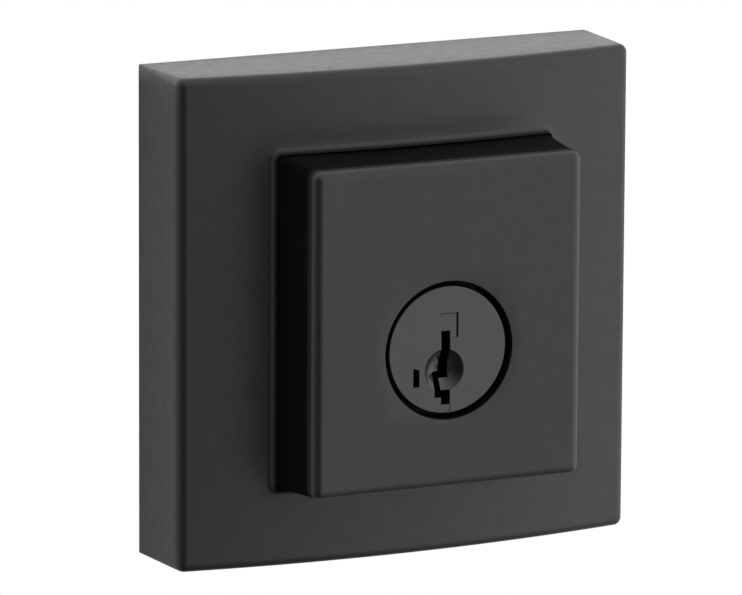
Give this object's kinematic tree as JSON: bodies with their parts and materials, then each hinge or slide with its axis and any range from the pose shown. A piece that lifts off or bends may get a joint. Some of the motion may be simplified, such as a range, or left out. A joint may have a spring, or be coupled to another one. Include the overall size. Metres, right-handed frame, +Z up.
{
  "type": "deadbolt door lock",
  "caption": "Square modern deadbolt lockset: keyed outside unit with a raised block, tubular bolt and latch case, and an inside thumbturn on a matching square rose.",
  "frame": {"origin": "where the turning axis crosses the door's outside face", "axes": "+X to the door's edge, the way the bolt goes out; +Y into the door from its outside face; +Z up"},
  "size_m": [0.0936, 0.1061, 0.0667],
  "materials": {
    "satin_black": "satin black powder coat over cast or pressed metal",
    "gloss_black": "smooth deep black coat",
    "zinc": "die-cast zinc, as cast, light satin",
    "steel": "zinc-plated steel",
    "brass": "turned brass",
    "rubber": "soft foam rubber"
  },
  "bodies": {
    "lock": {"outside_rose": "satin_black", "rose_gasket": "rubber", "housing_screws": "steel", "block_shroud": "gloss_black", "face_plate": "satin_black", "cylinder_housing": "zinc", "cylinder_body": "brass", "case_outer_half": "steel", "case_inner_half": "steel", "case_rivets": "steel", "detent_spring": "steel", "bolt_barrel": "steel", "front_backer": "steel", "front_plate": "satin_black", "front_screws": "satin_black", "mounting_plate": "steel", "mounting_screws": "steel", "inside_rose": "satin_black", "rose_grub_screw": "steel"},
    "thumbturn": {"thumbturn": "satin_black", "turn_spindle": "zinc", "retaining_ring": "steel", "turn_washer": "steel", "turn_grub_screw": "steel"},
    "cam": {"cam": "zinc", "crank_pin": "steel"},
    "key_plug": {"plug_face": "satin_black", "key_plug": "brass", "key_pins": "brass", "pin_springs": "steel", "pin_caps": "brass", "rekey_racks": "steel", "sidebar": "steel", "plug_clip": "steel", "tailpiece_driver": "zinc", "tailpiece": "steel"},
    "bolt": {"bolt": "steel", "bolt_roller": "steel", "link_pin": "steel", "bolt_link": "steel"}
  },
  "joints": [
    {"name": "thumbturn_turn", "type": "hinge", "parent": "lock", "child": "thumbturn", "pos_m": [0, 0.06, 0], "axis": [0, 1, 0], "range_deg": [0, 90]},
    {"name": "cam_turn", "type": "hinge", "parent": "lock", "child": "cam", "pos_m": [0, 0.02223, 0], "axis": [0, 1, 0], "range_deg": [0, 90]},
    {"name": "key_turn", "type": "hinge", "parent": "lock", "child": "key_plug", "pos_m": [0, -0.02, 0], "axis": [0, 1, 0], "range_deg": [0, 90]},
    {"name": "bolt_slide", "type": "slide", "parent": "lock", "child": "bolt", "axis": [1, 0, 0], "range_m": [0, 0.0254]}
  ],
  "couplings": [
    {"joint": "cam_turn", "follows": "thumbturn_turn", "ratio": 1},
    {"joint": "key_turn", "follows": "thumbturn_turn", "ratio": 1},
    {"joint": "bolt_slide", "follows": "thumbturn_turn", "m_per_rad": 0.01617}
  ]
}
